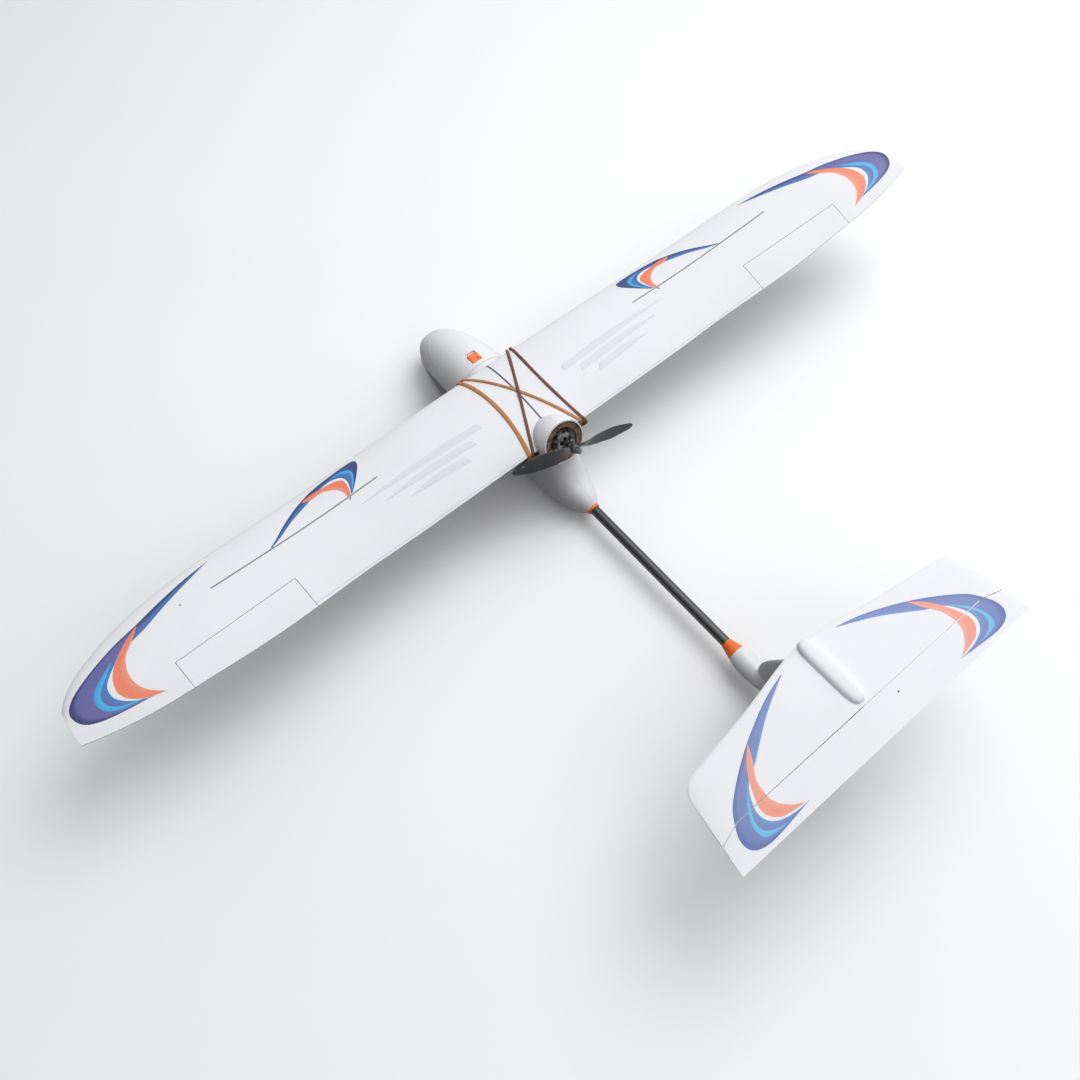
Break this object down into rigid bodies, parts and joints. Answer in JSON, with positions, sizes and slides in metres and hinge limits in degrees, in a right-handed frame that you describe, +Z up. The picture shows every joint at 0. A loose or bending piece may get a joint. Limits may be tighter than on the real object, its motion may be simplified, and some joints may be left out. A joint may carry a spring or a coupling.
{
  "type": "rc glider",
  "caption": "Radio-controlled foam pusher glider: high wing with raised tips held by rubber bands, pod, pusher propeller, carbon boom and T-tail.",
  "frame": {"origin": "centre of the bounding box in plan, on the surface the belly skid stands on", "axes": "+X to the aircraft's left wing tip, -Y to the nose, +Z up"},
  "size_m": [1.72, 1.101, 0.2551],
  "materials": {
    "wing_foam": "matte",
    "body_foam": "matte",
    "tail_foam": "matte",
    "tail_plastic": "satin",
    "skid_plastic": "matte",
    "orange_plastic": "satin",
    "plywood": "matte",
    "carbon": "satin",
    "spar_carbon": "matte",
    "rib_plastic": "matte",
    "dowel_plastic": "matte",
    "band_tan": "matte",
    "band_brown": "matte",
    "stator_steel": "satin",
    "copper_wire": "satin",
    "screw_steel": "satin",
    "bell_black": "satin",
    "adapter_black": "satin",
    "prop_plastic": "satin",
    "servo_plastic": "satin",
    "arm_nylon": "satin",
    "wire_steel": "satin",
    "battery_wrap": "satin",
    "strap_web": "matte",
    "controller_wrap": "gloss",
    "receiver_case": "satin"
  },
  "bodies": {
    "airframe": {"wing_left": "wing_foam", "wing_right": "wing_foam", "fuselage_left_shell": "body_foam", "fuselage_right_shell": "body_foam", "tailplane": "tail_foam", "fin": "tail_foam", "tail_fairing": "tail_foam", "tail_mount": "tail_plastic", "belly_skid": "skid_plastic", "boom_ring": "orange_plastic", "boom_cone": "orange_plastic", "motor_arch": "plywood", "firewall": "plywood", "equipment_tray": "plywood", "tail_boom": "carbon", "wing_joiner": "carbon", "spar_strip_left": "spar_carbon", "spar_strip_right": "spar_carbon", "centre_rib": "rib_plastic", "front_dowel": "dowel_plastic", "rear_dowel": "dowel_plastic", "rubber_band_left": "band_tan", "rubber_band_cross_a": "band_tan", "rubber_band_right": "band_brown", "rubber_band_cross_b": "band_brown", "motor_stator": "stator_steel", "motor_windings": "copper_wire", "motor_screws": "screw_steel", "aileron_servo_left": "servo_plastic", "aileron_servo_right": "servo_plastic", "elevator_servo": "servo_plastic", "rudder_servo": "servo_plastic", "battery_pack": "battery_wrap", "battery_strap": "strap_web", "speed_controller": "controller_wrap", "receiver": "receiver_case"},
    "propeller_unit": {"motor_bell": "bell_black", "prop_adapter": "adapter_black", "prop_nut": "adapter_black", "propeller": "prop_plastic"},
    "hatch": {"canopy_hatch": "body_foam"},
    "latch": {"hatch_latch": "orange_plastic"},
    "aileron_left_body": {"aileron_left": "wing_foam", "aileron_horn_left": "arm_nylon"},
    "aileron_left_arm": {"aileron_arm_left": "arm_nylon"},
    "aileron_left_rod": {"aileron_pushrod_left": "wire_steel"},
    "aileron_right_body": {"aileron_right": "wing_foam", "aileron_horn_right": "arm_nylon"},
    "aileron_right_arm": {"aileron_arm_right": "arm_nylon"},
    "aileron_right_rod": {"aileron_pushrod_right": "wire_steel"},
    "elevator_body": {"elevator": "tail_foam", "elevator_horn": "arm_nylon"},
    "elevator_drive": {"elevator_arm": "arm_nylon"},
    "elevator_rod": {"elevator_pushrod": "wire_steel"},
    "rudder_body": {"rudder": "tail_foam", "rudder_horn": "arm_nylon"},
    "rudder_drive": {"rudder_arm": "arm_nylon"},
    "rudder_rod": {"rudder_pushrod": "wire_steel"}
  },
  "joints": [
    {"name": "prop_spin", "type": "hinge", "parent": "airframe", "child": "propeller_unit", "pos_m": [0, -0.1105, 0.171], "axis": [0, 0.9171, 0.3987], "continuous": true},
    {"name": "hatch_lift", "type": "hinge", "parent": "airframe", "child": "hatch", "pos_m": [0, -0.5059, 0.102], "axis": [1, 0, 0], "range_deg": [0, 40]},
    {"name": "latch_slide", "type": "slide", "parent": "hatch", "child": "latch", "axis": [0, -1, 0], "range_m": [0, 0.006]},
    {"name": "aileron_left_hinge", "type": "hinge", "parent": "airframe", "child": "aileron_left_body", "pos_m": [0.487, -0.2065, 0.17831], "axis": [0.9897, 0.0747, 0.1225], "range_deg": [-25, 25]},
    {"name": "aileron_left_servo_spin", "type": "hinge", "parent": "airframe", "child": "aileron_left_arm", "pos_m": [0.59523, -0.27054, 0.18238], "axis": [0.9897, 0.0747, 0.1225], "range_deg": [-25, 25]},
    {"name": "aileron_left_rod_pivot", "type": "hinge", "parent": "aileron_left_arm", "child": "aileron_left_rod", "pos_m": [0.59767, -0.27035, 0.16253], "axis": [0.9897, 0.0747, 0.1225], "range_deg": [-25, 25]},
    {"name": "aileron_right_hinge", "type": "hinge", "parent": "airframe", "child": "aileron_right_body", "pos_m": [-0.487, -0.2065, 0.17831], "axis": [0.9897, -0.0747, -0.1225], "range_deg": [-25, 25]},
    {"name": "aileron_right_servo_spin", "type": "hinge", "parent": "airframe", "child": "aileron_right_arm", "pos_m": [-0.59523, -0.27054, 0.18238], "axis": [0.9897, -0.0747, -0.1225], "range_deg": [-25, 25]},
    {"name": "aileron_right_rod_pivot", "type": "hinge", "parent": "aileron_right_arm", "child": "aileron_right_rod", "pos_m": [-0.59767, -0.27035, 0.16253], "axis": [0.9897, -0.0747, -0.1225], "range_deg": [-25, 25]},
    {"name": "elevator_hinge", "type": "hinge", "parent": "airframe", "child": "elevator_body", "pos_m": [0, 0.4975, 0.2459], "axis": [1, 0, 0], "range_deg": [-25, 25]},
    {"name": "elevator_servo_spin", "type": "hinge", "parent": "airframe", "child": "elevator_drive", "pos_m": [0.015, 0.4375, 0.2335], "axis": [1, 0, 0], "range_deg": [-25, 25]},
    {"name": "elevator_rod_pivot", "type": "hinge", "parent": "elevator_drive", "child": "elevator_rod", "pos_m": [0.015, 0.4375, 0.2205], "axis": [1, 0, 0], "range_deg": [-25, 25]},
    {"name": "rudder_hinge", "type": "hinge", "parent": "airframe", "child": "rudder_body", "pos_m": [0, 0.4995, 0.108], "axis": [0, 0, 1], "range_deg": [-28, 28]},
    {"name": "rudder_servo_spin", "type": "hinge", "parent": "airframe", "child": "rudder_drive", "pos_m": [0, 0.4335, 0.108], "axis": [0, 0, 1], "range_deg": [-28, 28]},
    {"name": "rudder_rod_pivot", "type": "hinge", "parent": "rudder_drive", "child": "rudder_rod", "pos_m": [0.013, 0.4335, 0.108], "axis": [0, 0, 1], "range_deg": [-28, 28]}
  ],
  "couplings": [
    {"joint": "aileron_left_servo_spin", "follows": "aileron_left_hinge", "ratio": 1},
    {"joint": "aileron_left_rod_pivot", "follows": "aileron_left_hinge", "ratio": -1},
    {"joint": "aileron_right_hinge", "follows": "aileron_left_hinge", "ratio": -1},
    {"joint": "aileron_right_servo_spin", "follows": "aileron_left_hinge", "ratio": -1},
    {"joint": "aileron_right_rod_pivot", "follows": "aileron_left_hinge", "ratio": 1},
    {"joint": "elevator_servo_spin", "follows": "elevator_hinge", "ratio": 1},
    {"joint": "elevator_rod_pivot", "follows": "elevator_hinge", "ratio": -1},
    {"joint": "rudder_servo_spin", "follows": "rudder_hinge", "ratio": 1},
    {"joint": "rudder_rod_pivot", "follows": "rudder_hinge", "ratio": -1}
  ]
}
